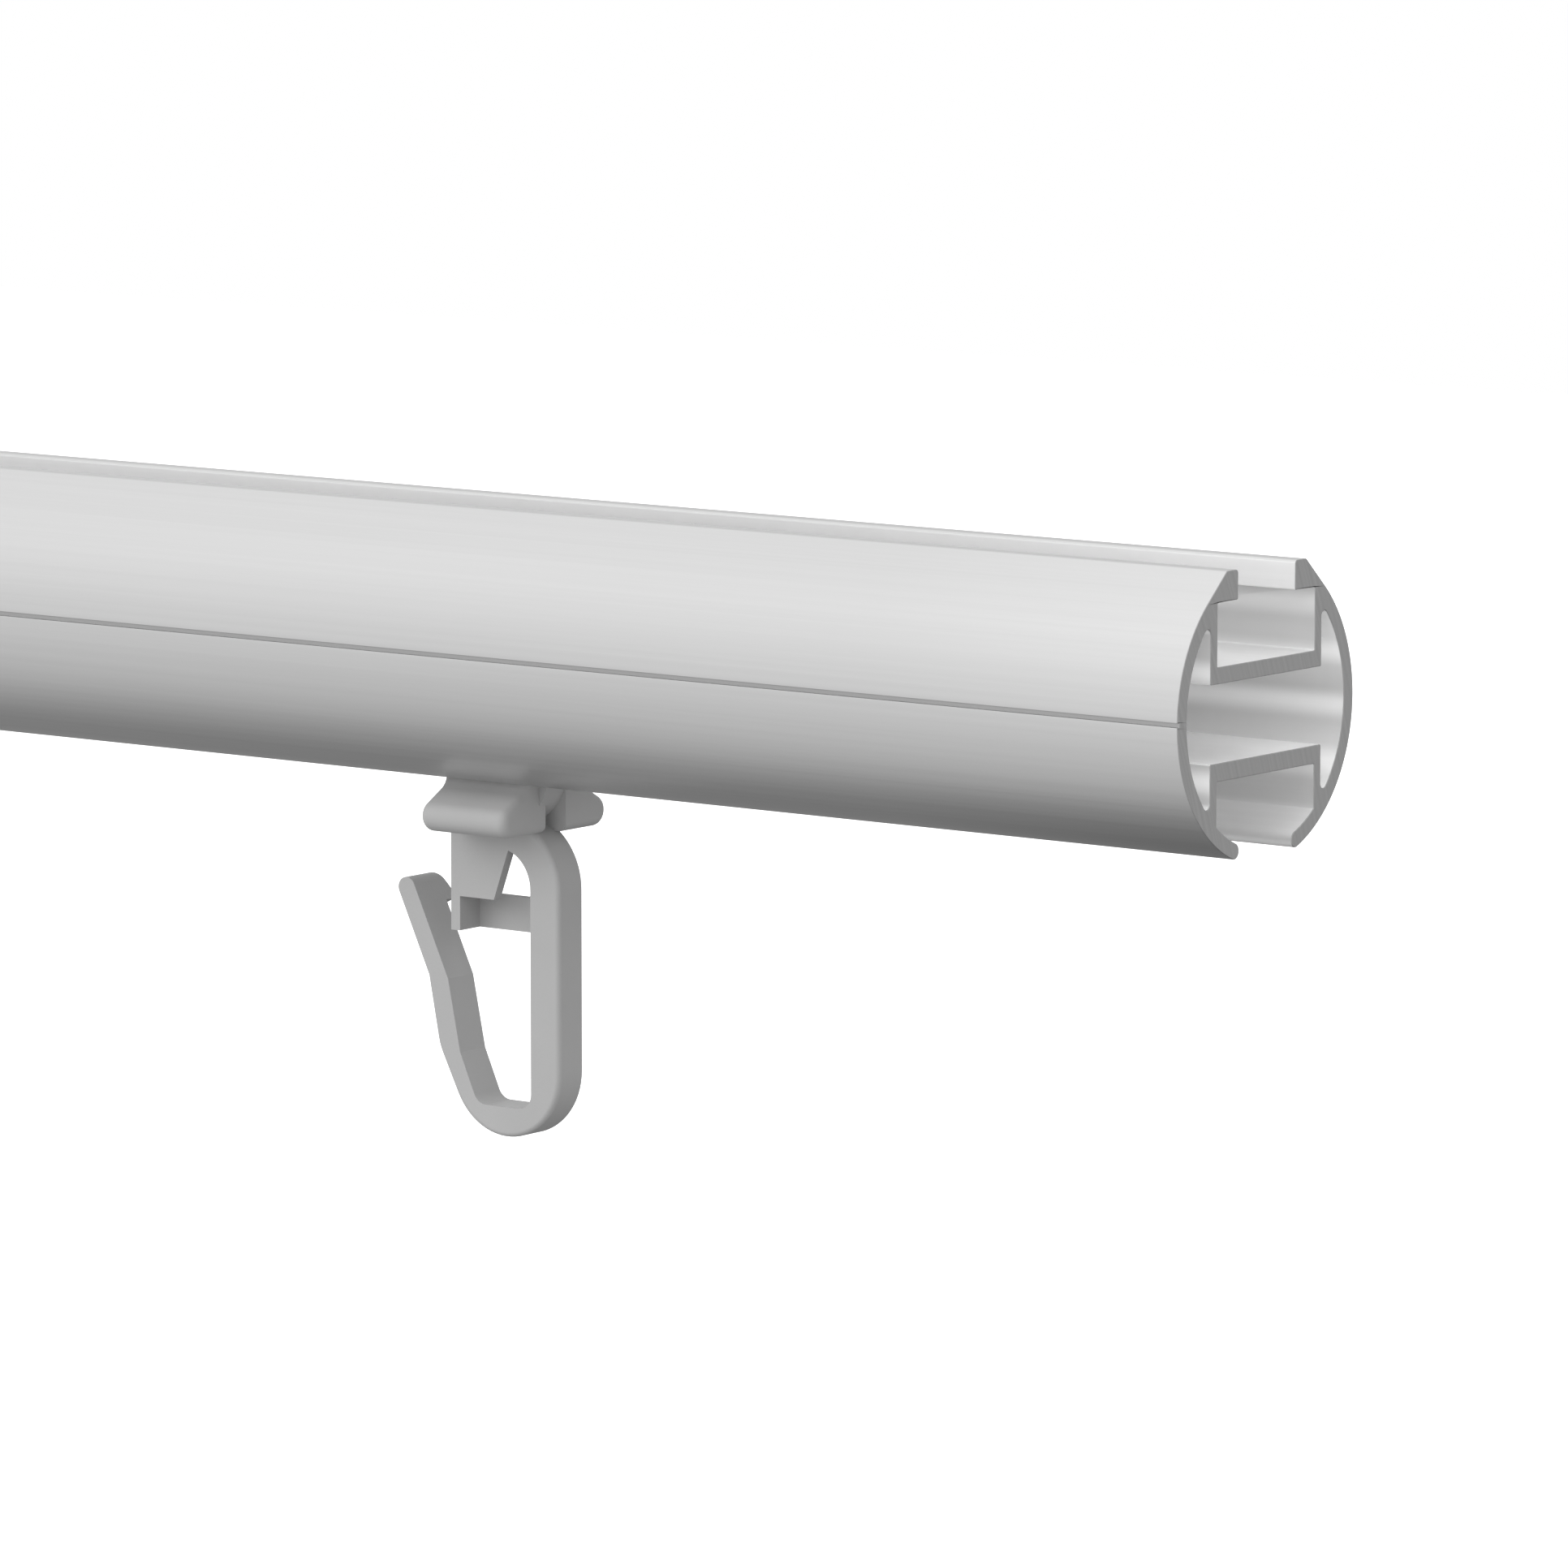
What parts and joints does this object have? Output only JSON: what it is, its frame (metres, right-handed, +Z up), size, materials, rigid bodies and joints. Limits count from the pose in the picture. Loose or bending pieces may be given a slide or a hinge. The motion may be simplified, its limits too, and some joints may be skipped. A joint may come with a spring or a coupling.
{
  "type": "inner-track curtain rod with hook glider",
  "caption": "Round extruded curtain rod with a bracket channel along its crown and a glider channel along its foot, in which a hook glider slides.",
  "frame": {"origin": "middle of the rod's length, on the crown of its round section, in the mouth of the upper slot", "axes": "+X along the rod towards the end that the glider hangs near, +Z up, out of the bracket channel"},
  "size_m": [0.6, 0.02, 0.0435],
  "materials": {
    "anodised_aluminium": "satin silver anodised",
    "moulded_grey_plastic": "matte moulded, mid grey"
  },
  "bodies": {
    "rod": {"rod_profile": "anodised_aluminium"},
    "glider": {"glider": "moulded_grey_plastic"}
  },
  "joints": [
    {"name": "glider_slide", "type": "slide", "parent": "rod", "child": "glider", "axis": [1, 0, 0], "range_m": [-0.533, 0.057]}
  ]
}
